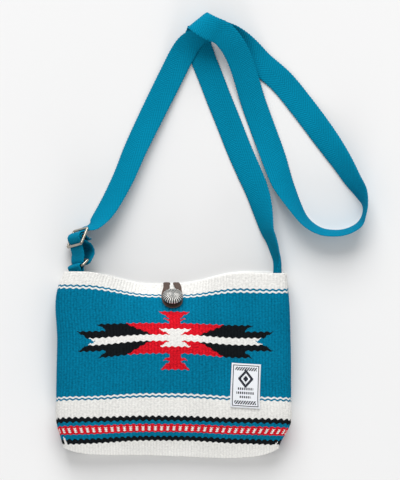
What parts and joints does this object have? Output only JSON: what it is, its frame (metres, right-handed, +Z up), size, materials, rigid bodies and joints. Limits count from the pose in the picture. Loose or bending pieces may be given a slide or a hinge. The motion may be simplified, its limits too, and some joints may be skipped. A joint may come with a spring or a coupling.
{
  "type": "woven shoulder bag",
  "caption": "Flat-bottomed weft-faced woven shoulder bag with a webbing strap, wire slider and ring, metal button and leather loop.",
  "frame": {"origin": "on the flat underside of the bag's back, under the middle of the front panel", "axes": "+Z up out of the bag's front, +Y from the bottom to the mouth and on along the strap, +X the bag's right as seen from the front"},
  "size_m": [0.3119, 0.444, 0.0444],
  "materials": {
    "weaving": "matte weft-faced weave, teal field with cream, red and black bands",
    "lining_cotton": "plain matte cotton",
    "webbing": "matte cotton webbing",
    "wire": "antique nickel over brass",
    "button_metal": "antique silver, darkened in the flutes",
    "lace_leather": "matte brown leather",
    "label_cloth": "fine woven cloth with a thin dark border"
  },
  "bodies": {
    "bag": {"woven_body": "weaving", "lining": "lining_cotton", "strap": "webbing", "ring_tab": "webbing", "slider_frame": "wire", "slider_bar": "wire", "closure_lace": "lace_leather", "label": "label_cloth"},
    "ring": {"square_ring": "wire"},
    "button": {"concho": "button_metal"}
  },
  "joints": [
    {"name": "ring_swing", "type": "hinge", "parent": "bag", "child": "ring", "pos_m": [-0.0973, 0.09796, 0.01919], "axis": [-0.4875, -0.1261, -0.8639], "range_deg": [-7, 7]},
    {"name": "concho_tilt", "type": "hinge", "parent": "bag", "child": "button", "pos_m": [-0.00065, 0.06448, 0.02611], "axis": [0.9982, -0.0372, 0.0464], "range_deg": [-6, 10]}
  ]
}
